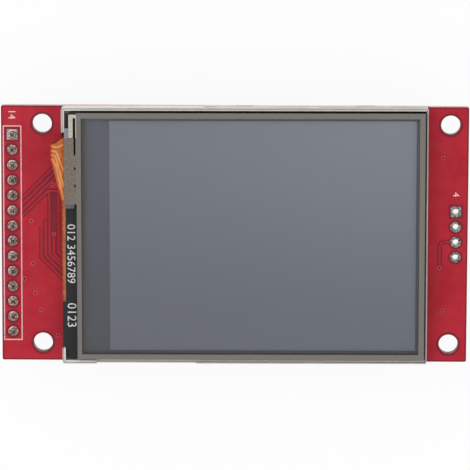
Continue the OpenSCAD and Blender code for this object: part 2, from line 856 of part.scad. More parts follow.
z_seat = z_back - copper_t;                  // what is soldered on the back stands on this
cavity_y = card_w / 2 + card_play;
shell_fit = 0.05;
base_y = socket_w / 2 - shell_t - shell_fit;
rear_wall = 1.6;
floor_l = 12.5;          // length of the floor, from the socket's rear
rail_w = 1.6;            // width of the rails beyond it, inside the card's space
mouth_inset = 0.6;       // from the moulding to the steel's edge at the mouth
contact_count = 9;
contact_pitch = 2.5;
contact_w = 0.8;
contact_t = 0.15;
contact_slot = 0.2;      // clearance beside each contact
contact_reach = 9.5;     // from the socket's rear to the contacts' tips
contact_lift = 0.75;     // how far they stand into the card's space
foot_l = 1.3;
corner_cut = 4;          // the card's cut corner
switch_y = [for (s = [-1, 1]) s * (cavity_y + base_y) / 2];
switch_l = 6;

// A profile in Y and Z, swept along +X
module sweep_x(x0, x1) {
    translate([x0, 0, 0]) rotate([90, 0, 90]) linear_extrude(x1 - x0) children();
}

function contact_y(i) = (i - (contact_count - 1) / 2) * contact_pitch;

module card_socket_base() {
    full_h = socket_h - shell_t - shell_fit;
    x0 = socket_x0 + shell_fit;
    x1 = socket_x1 - mouth_inset;
    color([0.09, 0.09, 0.1]) difference() {
        sweep_x(x0, x1) difference() {
            translate([0, z_seat - full_h / 2 + shell_r])
                round_rect(2 * base_y, full_h + 2 * shell_r, shell_r - shell_t);
            span2(-socket_w, z_seat, socket_w, z_seat + socket_h);
        }
        // the card's space, with its cut corner
        difference() {
            span3(x0 + rear_wall, -cavity_y, z_seat - full_h - lap, x1 + lap, cavity_y,
                z_seat - socket_floor);
            translate([x0 + rear_wall, cavity_y, z_seat - full_h - 2 * lap]) rotate(45)
                cube([corner_cut, corner_cut, 3 * full_h] * sqrt(2), center = true);
        }
        // the floor is open towards the mouth
        span3(x0 + floor_l, rail_w - cavity_y, z_seat - full_h - lap, x1 + lap,
            cavity_y - rail_w, z_seat + lap);
        // a slot for each contact, higher inside so that it can spring
        for (i = [0:contact_count - 1]) translate([0, contact_y(i), z_seat]) {
            span3(x0 - lap, -contact_w / 2 - contact_slot, -socket_floor - eps,
                x0 + contact_reach + 0.6, contact_w / 2 + contact_slot, lap);
            span3(x0 + rear_wall, -contact_w / 2 - contact_slot, -socket_floor - contact_lift - 0.1,
                x0 + contact_reach + 0.6, contact_w / 2 + contact_slot, lap);
        }
        for (y = switch_y)
            span3(x0 - lap, y - contact_w / 2, z_seat - contact_t, x0 + switch_l,
                y + contact_w / 2, z_seat + lap);
    }
}

shell_r = 0.4;
tab_w = 1.8;
tab_out = 1.1;
tab_cut = 0.5;           // how far the skirts are cut back beside a tab
shell_tab_x = [socket_x0 + 3, socket_x1 - 4];
spring_end = 8.5;        // from the springs' free ends to the mouth
window_l = 3.2;          // windows over the contacts
window_w = 1.5;
window_inset = 5.5;
skirt_lift = 0.3;        // the skirts end above the tracks between the tabs
spring_l = 9;
spring_w = 2.2;
spring_slit = 0.6;
spring_y = cavity_y - 4; // each spring's middle
thumb_r = 9;             // radius of the hollow in the mouth's edge
thumb_depth = 2.4;

// One folded steel sheet: roof, two skirts, four solder tabs and two card springs
module card_socket_shell() {
    roof = z_seat - socket_h;
    color([0.78, 0.79, 0.8]) difference() {
        union() {
            sweep_x(socket_x0, socket_x1) difference() {
                translate([0, z_seat - socket_h / 2 + shell_r])
                    round_rect(socket_w, socket_h + 2 * shell_r, shell_r);
                translate([0, z_seat - socket_h / 2 + shell_r])
                    round_rect(socket_w - 2 * shell_t, socket_h + 2 * shell_r - 2 * shell_t,
                        shell_r - shell_t);
                span2(-socket_w, z_seat, socket_w, z_seat + socket_h);
            }
            for (s = [-1, 1], x = shell_tab_x)
                translate([x, s * (socket_w / 2 - shell_t / 2 + tab_out / 2),
                    z_seat - shell_t / 2]) cube([tab_w, tab_out + shell_t, shell_t], center = true);
        }
        // hollow for the thumb in the mouth's edge
        translate([socket_x1 + thumb_r - thumb_depth, 0, roof - lap])
            cylinder(r = thumb_r, h = shell_t + lap + eps);
        // a slit on three sides frees each card spring
        for (s = [-1, 1]) translate([socket_x1 - spring_end, s * spring_y, roof - lap])
            difference() {
                span3(-spring_l, -spring_w / 2 - spring_slit, 0, 0, spring_w / 2 + spring_slit,
                    lap + shell_t + eps);
                span3(spring_slit - spring_l, -spring_w / 2, -lap, lap, spring_w / 2, 3 * lap);
            }
        // windows over the contacts
        for (i = [1:2:contact_count - 2])
            translate([socket_x0 + window_inset, contact_y(i), roof])
                cube([window_l, window_w, 4 * shell_t], center = true);
        // the skirts are cut back beside the tabs
        for (s = [-1, 1], x = shell_tab_x, d = [-1, 1])
            translate([x + d * (tab_w + tab_cut) / 2, s * socket_w / 2, z_seat])
                cube([tab_cut, 3 * tab_cut, 3 * tab_cut], center = true);
        // and raised between them
        for (s = [-1, 1])
            span3(shell_tab_x[0] + 2 * tab_w, s * socket_w / 2 - tab_cut, z_seat - skirt_lift,
                shell_tab_x[1] - 2 * tab_w, s * socket_w / 2 + tab_cut, z_seat + lap);
    }
}

// A bent strip: a line of [x, height] points with thickness t below it
function strip(points, t) =
    concat(points, [for (i = [len(points) - 1:-1:0]) points[i] - [0, t]]);

// Turns heights off the board's back into the part's Z
module off_back() {
    translate([0, 0, z_seat]) mirror([0, 0, 1]) children();
}

module card_contacts() {
    x = socket_x0;
    h = contact_t;
    lift = socket_floor + contact_lift;
    color("gold") off_back() for (i = [0:contact_count - 1])
        sweep_y(contact_y(i) - contact_w / 2, contact_y(i) + contact_w / 2)
            polygon(strip([[x - foot_l, h], [x + 2.6, h], [x + 3.2, socket_floor],
                [x + contact_reach - 1.6, lift], [x + contact_reach, socket_floor + 0.3]], h));
}

module card_switch_contacts() {
    color("gold") for (y = switch_y)
        span3(socket_x0 - foot_l, y - contact_w / 2, z_seat - contact_t,
            socket_x0 + shell_fit + switch_l, y + contact_w / 2, z_seat);
}

// ---------- Chips ----------

draft = 0.12;            // how much a moulded body narrows from its middle to its faces
standoff = 0.1;

// A moulded body, widest at its middle, standing on Z = 0
module chip_body(l, w, h) {
    z0 = standoff;
    z1 = standoff + h;
    zm = standoff + h / 2;
    intersection() {
        sweep_y(-w, w) polygon([[-l / 2 + draft, z0], [l / 2 - draft, z0], [l / 2, zm],
            [l / 2 - draft, z1], [-l / 2 + draft, z1], [-l / 2, zm]]);
        sweep_x(-l, l) polygon([[-w / 2 + draft, z0], [w / 2 - draft, z0], [w / 2, zm],
            [w / 2 - draft, z1], [-w / 2 + draft, z1], [-w / 2, zm]]);
    }
}

lead_t = 0.12;
lead_out = 0.06;         // straight stretch of a lead before it turns down

// One gull-wing lead that leaves a body side at x, towards +X, and ends in a flat foot
module gull_wing(x, h, foot_x1, foot, w) {
    mid = standoff + h / 2 + lead_t / 2;
    foot_x0 = foot_x1 - foot;
    turn = lead_t / 3;
    sweep_y(-w / 2, w / 2) polygon([[x, mid], [x + lead_out + 2 * turn, mid],
        [foot_x0 + turn, lead_t], [foot_x1, lead_t], [foot_x1, 0], [foot_x0 - turn, 0],
        [x + lead_out, mid - lead_t], [x, mid - lead_t]]);
}

// Touch controller: 16 leads in two rows
ctrl_l = 4.4;
ctrl_w = 5;
ctrl_h = 1;
ctrl_rows = 8;
ctrl_pitch = 0.65;
ctrl_span = 6.4;
ctrl_foot = 0.55;
ctrl_lead_w = 0.24;
ctrl_from_header = 21;
ctrl_y = 3;
ctrl_at = [header_x + ctrl_from_header, ctrl_y];
dot_d = 0.7;             // dimple that marks lead 1
dot_depth = 0.08;
dot_inset = 0.75;

module at_controller() {
    translate([ctrl_at.x, ctrl_at.y, 0]) off_back() children();
}

module touch_controller() {
    color([0.13, 0.13, 0.14]) at_controller() difference() {
        chip_body(ctrl_l, ctrl_w, ctrl_h);
        translate([dot_inset - ctrl_l / 2, ctrl_w / 2 - dot_inset, standoff + ctrl_h - dot_depth])
            cylinder(d = dot_d, h = lap);
    }
}

module touch_controller_leads() {
    color("silver") at_controller() for (i = [0:ctrl_rows - 1], turn = [0, 180])
        rotate(turn) translate([0, (i - (ctrl_rows - 1) / 2) * ctrl_pitch, 0])
            gull_wing(ctrl_l / 2, ctrl_h, ctrl_span / 2, ctrl_foot, ctrl_lead_w);
}

// Three-lead chips
sot_l = 1.3;
sot_w = 2.9;
sot_h = 1;
sot_span = 2.5;
sot_foot = 0.3;
sot_lead_w = 0.4;
sot_lead_y = 0.95;
power_x = header_x + 9;  // the power parts stand beside the header
power_y = 13.5;
switch_part_y = -14.5;
regulator_at = [power_x, power_y];
transistor_at = [power_x, switch_part_y];

module at_regulator() {
    translate([regulator_at.x, regulator_at.y, 0]) off_back() children();
}

module at_transistor() {
    translate([transistor_at.x, transistor_at.y, 0]) off_back() children();
}

module sot_leads() {
    for (y = [-sot_lead_y, sot_lead_y])
        translate([0, y, 0]) gull_wing(sot_l / 2, sot_h, sot_span / 2, sot_foot, sot_lead_w);
    rotate(180) gull_wing(sot_l / 2, sot_h, sot_span / 2, sot_foot, sot_lead_w);
}

module regulator() {
    color([0.13, 0.13, 0.14]) at_regulator() chip_body(sot_l, sot_w, sot_h);
}

module regulator_leads() {
    color("silver") at_regulator() sot_leads();
}

module backlight_transistor() {
    color([0.13, 0.13, 0.14]) at_transistor() chip_body(sot_l, sot_w, sot_h);
}

module transistor_leads() {
    color("silver") at_transistor() sot_leads();
}

// ---------- Resistors and capacitors ----------

smd_l = 1.6;
smd_w = 0.8;
resistor_h = 0.45;
capacitor_h = 0.8;
cap_l = 0.32;            // length of each metal end
cap_t = 0.03;            // its thickness on the body
solder_l = 0.3;          // solder beyond the end

pull_ups = 5;            // resistors in a row behind the card socket
pull_up_pitch = 4;
pull_up_gap = 5.5;       // from the row's middle to the socket
cap_gap = 3.4;           // from a chip's middle to the capacitors beside it
small_gap = 5;           // from the transistor to the resistors beside it

// Places: [x, y, quarter turns]
resistor_at = concat(
    [for (i = [0:pull_ups - 1]) [socket_x0 - pull_up_gap, (i - (pull_ups - 1) / 2) * pull_up_pitch, 0]],
    [[power_x - small_gap / 2, switch_part_y + small_gap, 1],
        [power_x, switch_part_y + small_gap, 1], [power_x + small_gap, switch_part_y, 0]]);
capacitor_at = [[power_x - cap_gap, power_y, 1], [power_x + cap_gap, power_y, 1],
    [ctrl_at.x, ctrl_at.y + ctrl_w / 2 + smd_l, 0], [ctrl_at.x, ctrl_at.y - ctrl_w / 2 - smd_l, 0]];

module at_spots(spots) {
    for (s = spots) translate([s.x, s.y, 0]) rotate(90 * s[2]) off_back() children();
}

module smd_body(h) {
    translate([-smd_l / 2, -smd_w / 2, cap_t]) cube([smd_l, smd_w, h]);
}

module smd_ends(h) {
    x0 = smd_l / 2 - cap_l;
    x1 = smd_l / 2 + cap_t;
    w = smd_w / 2 + cap_t;
    difference() {
        for (turn = [0, 180]) rotate(turn) {
            span3(x0, -w, 0, x1, w, h + 2 * cap_t);
            sweep_y(-w, w) polygon([[x1 - eps, 0], [x1 + solder_l, 0], [x1, 0.7 * h],
                [x1 - eps, 0.7 * h]]);
        }
        smd_body(h);
    }
}

module chip_resistors() {
    color([0.12, 0.12, 0.13]) at_spots(resistor_at) smd_body(resistor_h);
}

module chip_capacitors() {
    color("tan") at_spots(capacitor_at) smd_body(capacitor_h);
}

module chip_terminals() {
    color("silver") {
        at_spots(resistor_at) smd_ends(resistor_h);
        at_spots(capacitor_at) smd_ends(capacitor_h);
    }
}

// ---------- Back of the board ----------

module land(x, y, l, w, grow) {
    translate([x, y]) square([l + 2 * grow, w + 2 * grow], center = true);
}

land_margin = 0.1;       // how far a land reaches past the lead or foot that stands on it
chip_land_gap = 0.12;    // bare ring round the controller's close lands

// Land under one gull-wing foot that ends at x, on the side that s says
module foot_land(at, s, y, span, foot, w, grow) {
    land(at.x + s * (span / 2 - foot / 2), at.y + y, foot + 4 * land_margin,
        w + land_margin, grow);
}

// Plan of every tinned land on the back, each grown by a margin
module back_land_plan(grow) {
    for (y = concat([for (i = [0:contact_count - 1]) contact_y(i)], switch_y))
        land(socket_x0 - foot_l / 2, y, foot_l + 2 * land_margin, contact_w + 2 * land_margin, grow);
    for (s = [-1, 1], x = shell_tab_x)
        land(x, s * (socket_w / 2 + tab_out / 2), tab_w + 3 * land_margin,
            tab_out + 3 * land_margin, grow);
    for (i = [0:ctrl_rows - 1], s = [-1, 1])
        foot_land(ctrl_at, s, (i - (ctrl_rows - 1) / 2) * ctrl_pitch, ctrl_span, ctrl_foot,
            ctrl_lead_w, min(grow, chip_land_gap));
    for (at = [regulator_at, transistor_at]) {
        for (y = [-sot_lead_y, sot_lead_y])
            foot_land(at, 1, y, sot_span, sot_foot, sot_lead_w, grow);
        foot_land(at, -1, 0, sot_span, sot_foot, sot_lead_w, grow);
    }
    for (s = concat(resistor_at, capacitor_at), e = [-1, 1])
        translate([s.x, s.y]) rotate(90 * s[2])
            land(e * (smd_l / 2 + land_margin), 0, 2 * (solder_l + land_margin),
                smd_w + 2 * land_margin, grow);
}

module back_lands() {
    color("silver") translate([0, 0, z_seat]) linear_extrude(copper_t) back_land_plan(0);
}

back_track_l = 2.4;      // each track's first straight stretch, and its last
back_track_draw = 0.1;   // how far the tracks draw together, as a share of their distance

// Tracks from the header towards the display's middle, each with one slanted step
module back_tracks(w) {
    for (i = [0:pin_count - 1]) {
        y = pin_y(i);
        in_y = y * (1 - back_track_draw);
        x1 = header_x + back_track_l;
        path2([[header_x, y], [x1, y], [x1 + abs(y - in_y), in_y],
            [x1 + abs(y - in_y) + back_track_l, in_y]], w);
    }
    for (i = [0:contact_count - 1])
        path2([[socket_x0 - foot_l, contact_y(i)], [socket_x0 - foot_l - back_track_l, contact_y(i)]],
            w);
}

back_clear = 0.25;
ink_gap = 0.4;           // from a part to the outline printed round it

module back_copper() {
    color("crimson") translate([0, 0, z_seat]) linear_extrude(copper_t) {
        difference() {
            board_outline(pour_edge);
            at_mounting_holes() circle(d = hole_d + 2 * hole_clear);
            plated_land_plan(land_clear);
            back_tracks(track_w + 2 * track_gap);
            back_land_plan(back_clear);
        }
        difference() {
            back_tracks(track_w);
            plated_land_plan(0);
            back_land_plan(0);
        }
    }
}

module back_ink() {
    header_ink();
    difference() {
        ink_frame(socket_x0 - ink_gap, -socket_w / 2 - ink_gap, socket_x1 + ink_gap,
            socket_w / 2 + ink_gap);
        back_land_plan(ink_w);
    }
    for (s = concat(resistor_at, capacitor_at)) translate([s.x, s.y]) rotate(90 * s[2])
        ink_box(smd_l / 2 + 2 * ink_gap, smd_w / 2 + ink_gap);
    for (at = [regulator_at, transistor_at])
        translate(at) ink_box(sot_span / 2 + 1.5 * ink_gap, sot_w / 2 + ink_gap);
}

module ink_box(x, y) {
    ink_frame(-x, -y, x, y);
}

module back_silkscreen() {
    color("mistyrose") translate([0, 0, z_seat - ink_t]) linear_extrude(ink_t) difference() {
        back_ink();
        at_vias() circle(d = via_d + ink_w);
    }
}

circuit_board();
front_copper();
back_copper();
via_rings();
front_silkscreen();
back_silkscreen();
header_lands();
card_port_lands();
header_body();
header_pins();
header_solder();
foam_tape();
display_tray();
backlight_frame();
reflector_sheet();
light_guide();
diffuser_sheet();
lower_prism_sheet();
upper_prism_sheet();
backlight_leds();
led_flex();
rim_tape();
rear_polarizer();
array_glass();
filter_glass();
front_polarizer();
driver_chip();
ledge_tape();
display_flex();
display_flex_solder();
touch_gasket();
touch_glass();
touch_spacer();
touch_film();
touch_busbar();
touch_flex();
touch_flex_tracks();
touch_flex_solder();
card_socket_base();
card_socket_shell();
card_contacts();
card_switch_contacts();
touch_controller();
touch_controller_leads();
regulator();
regulator_leads();
backlight_transistor();
transistor_leads();
chip_resistors();
chip_capacitors();
chip_terminals();
back_lands();
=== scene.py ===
"""Looks of the touch display module: materials, printed marks, small trim, light and camera."""

import math

import bpy
from mathutils import Matrix, Vector


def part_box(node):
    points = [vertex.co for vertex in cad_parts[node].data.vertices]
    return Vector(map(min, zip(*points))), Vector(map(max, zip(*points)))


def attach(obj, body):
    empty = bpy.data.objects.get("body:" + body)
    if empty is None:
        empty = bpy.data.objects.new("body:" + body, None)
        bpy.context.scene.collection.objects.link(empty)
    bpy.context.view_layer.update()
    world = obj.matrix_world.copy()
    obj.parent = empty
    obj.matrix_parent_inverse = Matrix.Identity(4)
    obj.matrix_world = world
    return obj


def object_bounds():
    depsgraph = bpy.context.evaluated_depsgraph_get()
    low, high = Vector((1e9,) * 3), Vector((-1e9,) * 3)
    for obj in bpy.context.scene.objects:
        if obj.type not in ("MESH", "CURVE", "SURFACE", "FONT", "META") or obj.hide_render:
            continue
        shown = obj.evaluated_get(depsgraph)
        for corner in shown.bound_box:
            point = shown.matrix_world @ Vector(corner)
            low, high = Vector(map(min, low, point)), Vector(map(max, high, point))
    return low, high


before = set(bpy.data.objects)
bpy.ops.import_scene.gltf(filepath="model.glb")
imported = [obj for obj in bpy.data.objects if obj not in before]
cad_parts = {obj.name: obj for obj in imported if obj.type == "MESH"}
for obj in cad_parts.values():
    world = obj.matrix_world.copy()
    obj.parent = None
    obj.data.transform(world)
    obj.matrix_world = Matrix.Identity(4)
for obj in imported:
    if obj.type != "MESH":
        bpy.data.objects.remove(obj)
cad_low, cad_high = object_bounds()

MM = 0.001
DISPLAY_SKEW = math.radians(0.15)        # how far the display is turned on the board
DISPLAY_Y = 0.13 * MM                    # the display's middle, from the board's


# ---------- Colours and node helpers ----------

RANGE_KEYS = ("From Min", "From Max", "To Min", "To Max")


def tint(red, green, blue):
    """A colour as a screen shows it, each channel 0 to 255, as Blender's linear values."""
    def linear(value):
        share = value / 255
        return share / 12.92 if share <= 0.04045 else ((share + 0.055) / 1.055) ** 2.4
    return (linear(red), linear(green), linear(blue), 1.0)


class Finish:
    """A procedural material: one Principled shader, fed by textures in the part's coordinates."""

    def __init__(self, name, rough=0.5, metal=0.0, specular=0.5):
        self.material = bpy.data.materials.new(name)
        self.material.use_nodes = True
        self.tree = self.material.node_tree
        self.shader = self.tree.nodes["Principled BSDF"]
        self.output = self.tree.nodes["Material Output"]
        self.shader.inputs["Roughness"].default_value = rough
        self.shader.inputs["Metallic"].default_value = metal
        self.shader.inputs["Specular IOR Level"].default_value = specular
        self.place = self.node("ShaderNodeTexCoord").outputs["Object"]

    def node(self, kind, **settings):
        made = self.tree.nodes.new(kind)
        for key, value in settings.items():
            setattr(made, key, value)
        return made

    def link(self, source, target):
        self.tree.links.new(source, target)

    def feed(self, socket, value):
        """Puts a constant on a socket, or links an output to it."""
        if isinstance(value, bpy.types.NodeSocket):
            self.link(value, socket)
        else:
            socket.default_value = value

    def math(self, operation, a, b=0.0, clamp=False):
        made = self.node("ShaderNodeMath", operation=operation, use_clamp=clamp)
        self.feed(made.inputs[0], a)
        self.feed(made.inputs[1], b)
        return made.outputs[0]

    def noise(self, size, detail=3.0, offset=0.0, stretch=(1.0, 1.0, 1.0)):
        """Soft noise from 0 to 1, with spots about size metres across, drawn out by stretch."""
        moved = self.node("ShaderNodeMapping")
        moved.inputs["Location"].default_value = (offset, offset, offset)
        moved.inputs["Scale"].default_value = [1 / (size * s) for s in stretch]
        self.link(self.place, moved.inputs["Vector"])
        made = self.node("ShaderNodeTexNoise")
        made.inputs["Scale"].default_value = 1.0
        made.inputs["Detail"].default_value = detail
        self.link(moved.outputs["Vector"], made.inputs["Vector"])
        return made.outputs["Fac"]

    def ranged(self, value, low, high, start=0.0, end=1.0):
        """Maps value from low..high to start..end, clamped."""
        made = self.node("ShaderNodeMapRange", clamp=True, interpolation_type="SMOOTHSTEP")
        self.feed(made.inputs["Value"], value)
        for key, number in zip(RANGE_KEYS, (low, high, start, end)):
            made.inputs[key].default_value = number
        return made.outputs["Result"]

    def mix(self, factor, first, second):
        made = self.node("ShaderNodeMix", data_type="RGBA")
        self.feed(made.inputs["Factor"], factor)
        self.feed(made.inputs["A"], first)
        self.feed(made.inputs["B"], second)
        return made.outputs["Result"]

    def axis(self, name):
        parts = self.node("ShaderNodeSeparateXYZ")
        self.link(self.place, parts.inputs[0])
        return parts.outputs[name]

    def facing(self, name):
        """How far the surface faces along an axis, from -1 to 1."""
        parts = self.node("ShaderNodeSeparateXYZ")
        self.link(self.node("ShaderNodeNewGeometry").outputs["True Normal"], parts.inputs[0])
        return parts.outputs[name]

    def colour(self, value):
        self.feed(self.shader.inputs["Base Color"], value)
        return self

    def rough(self, low, high, size, offset=3.0):
        """Roughness that wanders from low to high in spots of about size metres."""
        self.link(self.ranged(self.noise(size, offset=offset), 0.3, 0.7, low, high),
                  self.shader.inputs["Roughness"])
        return self

    def bump(self, height, depth):
        """Relief of a given depth in metres, from a height of 0 to 1."""
        made = self.node("ShaderNodeBump")
        made.inputs["Strength"].default_value = 1.0
        made.inputs["Distance"].default_value = depth
        self.link(height, made.inputs["Height"])
        self.link(made.outputs["Normal"], self.shader.inputs["Normal"])
        return self


def plain(name, first, second, size, rough=(0.4, 0.6), grain=0.2 * MM, depth=0.0, **settings):
    """A finish that wanders between two colours, with its own roughness and fine relief."""
    made = Finish(name, **settings)
    made.colour(made.mix(made.ranged(made.noise(size), 0.3, 0.7), tint(*first), tint(*second)))
    made.rough(*rough, size=grain * 3)
    if depth:
        made.bump(made.noise(grain, detail=2.0, offset=7.0), depth)
    return made.material


def dress(material, *names):
    """Gives CAD nodes a material."""
    for name in names:
        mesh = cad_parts[name].data
        mesh.materials.clear()
        mesh.materials.append(material)


# ---------- Board ----------


def laminate():
    """Bare board: dark mask on its faces, pale glass and resin on its outer cut edges, and dark
    maroon hole walls, partly the mask's red and partly painted shade.
    """
    made = Finish("board_laminate", specular=0.3)
    low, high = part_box("circuit_board")
    mask = made.mix(made.noise(1.5 * MM), tint(122, 26, 42), tint(138, 34, 50))
    layers = made.noise(0.12 * MM, detail=1.0, stretch=(30, 30, 1))
    cut = made.mix(made.ranged(layers, 0.35, 0.65), tint(196, 150, 148), tint(226, 190, 184))
    # Hole walls: dark maroon, partly the mask's red and partly painted shade inside the drilled
    # holes.
    hole_wall_painted_shade = made.mix(made.noise(0.3 * MM), tint(88, 28, 40), tint(124, 50, 60))
    rim = 0.4 * MM
    across = made.math("ABSOLUTE", made.math("SUBTRACT", made.axis("X"), (low.x + high.x) / 2))
    along = made.math("ABSOLUTE", made.axis("Y"))
    outside = made.math("MAXIMUM",
                        made.math("GREATER_THAN", across, (high.x - low.x) / 2 - rim),
                        made.math("GREATER_THAN", along, high.y - rim))
    side = made.mix(outside, hole_wall_painted_shade, cut)
    flat = made.math("GREATER_THAN", made.math("ABSOLUTE", made.facing("Z")), 0.5)
    made.colour(made.mix(flat, side, mask))
    made.rough(0.3, 0.5, 0.8 * MM)
    made.bump(made.noise(0.15 * MM, offset=5.0), 0.01 * MM)
    return made.material


def mask(name, first, second):
    """Glossy red solder mask over copper, with a faint weave that shows through."""
    made = Finish(name, specular=0.35)
    weave = made.math("MULTIPLY",
                      made.noise(0.35 * MM, detail=0.0, stretch=(8, 1, 1)),
                      made.noise(0.35 * MM, detail=0.0, stretch=(1, 8, 1), offset=4.0))
    broad = made.ranged(made.noise(9 * MM, detail=1.0), 0.35, 0.65)
    made.colour(made.mix(broad, tint(*first), tint(*second)))
    made.rough(0.28, 0.42, 2 * MM)
    made.bump(weave, 0.012 * MM)
    return made.material


def ink(name, shade):
    """Printed ink: slightly broken, matt."""
    made = Finish(name, specular=0.3)
    thin = made.ranged(made.noise(0.25 * MM, detail=2.0), 0.3, 0.5)
    worn = tuple(0.82 * c for c in shade)
    made.colour(made.mix(thin, tint(*worn), tint(*shade)))
    made.rough(0.5, 0.7, 0.3 * MM)
    return made.material


def tin(name, bright, dull_and_dark_reflection, spots, rough=(0.22, 0.5), depth=0.02 * MM, metal=1.0):
    """Tinned metal or solder, with dull spots between bright ones: partly flux, partly painted dark
    reflections.
    """
    made = Finish(name, metal=metal)
    stain = made.ranged(made.noise(spots, detail=4.0), 0.42, 0.62)
    # Dull spots: partly flux, partly painted dark reflections on the bright metal.
    made.colour(made.mix(stain, tint(*bright), tint(*dull_and_dark_reflection)))
    made.rough(*rough, size=spots)
    made.bump(made.noise(spots * 0.7, offset=9.0), depth)
    return made.material


# ---------- Metal and plastic ----------


def steel(name, shade, grain=(1, 12, 1), metal=1.0):
    """Rolled steel sheet with fine lines along it."""
    made = Finish(name, metal=metal)
    lines = made.noise(0.12 * MM, detail=2.0, stretch=grain)
    dark = tuple(0.96 * c for c in shade)
    made.colour(made.mix(made.ranged(made.noise(2.5 * MM), 0.35, 0.65), tint(*dark), tint(*shade)))
    made.rough(0.34, 0.4, 1.2 * MM)
    made.bump(lines, 0.004 * MM)
    return made.material


def glass_plate(name, face, edge):
    """A dark display glass: its flat faces show the cell, and its cut edges are greener."""
    made = Finish(name, specular=0.5)
    flat = made.math("GREATER_THAN", made.math("ABSOLUTE", made.facing("Z")), 0.5)
    chips = made.mix(made.noise(0.3 * MM), tint(*edge), tint(*[0.75 * c for c in edge]))
    made.colour(made.mix(flat, chips, face(made)))
    made.rough(0.17, 0.2, 0.4 * MM)
    return made.material


# ---------- Display ----------


def picture_with_painted_reflection(made):
    """The unlit picture: blue-grey, with a painted reflection that makes it lighter towards the far
    top corner.
    """
    low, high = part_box("front_polarizer")
    up = made.ranged(made.axis("Y"), low.y, high.y)
    right = made.ranged(made.axis("X"), low.x, high.x)
    # Painted reflection: lighter towards the top and towards the right.
    bottom = made.mix(right, tint(119, 124, 136), tint(123, 129, 140))
    top = made.mix(right, tint(138, 144, 154), tint(151, 156, 167))
    return made.mix(up, bottom, top)


def cell_with_painted_reflection(made):
    """Bare cell beside the picture: darker and bluer, lighter towards the top as a painted
    reflection, and brown at its outer edge.
    """
    low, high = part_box("touch_glass")
    up = made.ranged(made.axis("Y"), low.y, high.y)
    # Painted reflection: lighter towards the top.
    blue = made.mix(up, tint(86, 91, 100), tint(106, 110, 124))
    edge = made.ranged(made.axis("X"), low.x + 0.7 * MM, low.x + 2.1 * MM)
    return made.mix(edge, tint(110, 102, 98), blue)


def polarizer():
    made = Finish("picture_polarizer", specular=0.3)
    shade = picture_with_painted_reflection(made)
    grain = made.ranged(made.noise(0.12 * MM, detail=1.0), 0.3, 0.7, 0.0, 0.03)
    made.colour(made.mix(grain, shade, tint(104, 108, 114)))
    made.rough(0.32, 0.34, 0.3 * MM)
    return made.material


def clear(name, haze, cover=None, gloss=0.12, index=1.22):
    """A see-through sheet: transparent, with a thin haze, and gloss by angle.
    cover is a builder for a mask and colour of the stretches that aren't clear."""
    made = Finish(name, specular=0.0)
    speckle = made.noise(1.5 * MM, detail=1.0)
    dust = made.mix(speckle, tint(164, 164, 164), tint(172, 171, 168))
    see = made.node("ShaderNodeBsdfTransparent")
    veil = made.node("ShaderNodeMixShader")
    amount = made.ranged(speckle, 0.2, 0.8, haze * 0.9, haze * 1.1)
    if cover:
        where, shade = cover(made)
        amount = made.math("MAXIMUM", amount, where)
        dust = made.mix(where, dust, shade)
    made.colour(dust)
    made.feed(veil.inputs["Fac"], amount)
    made.link(see.outputs[0], veil.inputs[1])
    made.link(made.shader.outputs[0], veil.inputs[2])
    shine = made.node("ShaderNodeBsdfGlossy")
    shine.inputs["Roughness"].default_value = gloss
    fresnel = made.node("ShaderNodeFresnel")
    fresnel.inputs["IOR"].default_value = index
    top = made.node("ShaderNodeMixShader")
    made.link(fresnel.outputs[0], top.inputs["Fac"])
    made.link(veil.outputs[0], top.inputs[1])
    made.link(shine.outputs[0], top.inputs[2])
    made.link(top.outputs[0], made.output.inputs["Surface"])
    return made.material


def ring_window():
    """The inner edges of the adhesive ring under the film: lowest X, highest X and highest Y."""
    low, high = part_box("touch_spacer")
    middle = (low + high) / 2
    outer_edge = 0.5 * MM                # points nearer to the outside than this aren't inner ones
    inner = [v.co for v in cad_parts["touch_spacer"].data.vertices
             if abs(v.co.y - middle.y) < (high.y - middle.y) - outer_edge]
    left = [c.x for c in inner if c.x < middle.x]
    right = [c.x for c in inner if c.x > middle.x]
    top = [c.y for c in inner if c.y > middle.y]
    return sum(left) / len(left), sum(right) / len(right), sum(top) / len(top)


def tab_cover(made):
    """Where the film isn't clear: the adhesive ring under its edge, and the tab and corner piece,
    which adhesive and silver ink make taupe and speckled."""
    low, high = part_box("touch_glass")
    corner_low, corner_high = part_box("touch_busbar")
    outer = made.math("LESS_THAN", made.axis("X"), low.x - 0.02 * MM)
    left, right, top = ring_window()
    along = made.math("ADD", made.axis("X"), made.math("MULTIPLY", made.axis("Y"), DISPLAY_SKEW))
    across = made.math("SUBTRACT", made.axis("Y"),
                       made.math("MULTIPLY", made.axis("X"), DISPLAY_SKEW))
    off_x = made.math("ABSOLUTE", made.math("SUBTRACT", along, (left + right) / 2))
    off_y = made.math("ABSOLUTE", made.math("SUBTRACT", across, DISPLAY_Y))
    ring = made.math("MAXIMUM", made.math("GREATER_THAN", off_x, (right - left) / 2),
                     made.math("GREATER_THAN", off_y, top - DISPLAY_Y))
    where = made.math("MAXIMUM", outer, ring)
    speckle = made.ranged(made.noise(0.22 * MM, detail=3.0, offset=2.0), 0.3, 0.7)
    taupe = made.mix(speckle, tint(106, 94, 84), tint(136, 124, 114))
    pale = made.mix(speckle, tint(176, 172, 158), tint(206, 201, 188))
    high_up = made.math("GREATER_THAN", made.axis("Y"), corner_low.y)
    adhesive = made.mix(made.noise(0.3 * MM), tint(112, 107, 101), tint(130, 125, 118))
    shade = made.mix(outer, adhesive, made.mix(high_up, taupe, pale))
    return made.math("MULTIPLY", where, 0.96), shade


def flex(name, first, second, rough=(0.2, 0.35)):
    """Polyimide flex: amber, glossy, a little uneven."""
    made = Finish(name, specular=0.5)
    made.colour(made.mix(made.ranged(made.noise(0.9 * MM), 0.3, 0.7), tint(*first), tint(*second)))
    made.rough(*rough, size=0.5 * MM)
    made.bump(made.noise(0.8 * MM, offset=6.0), 0.02 * MM)
    return made.material


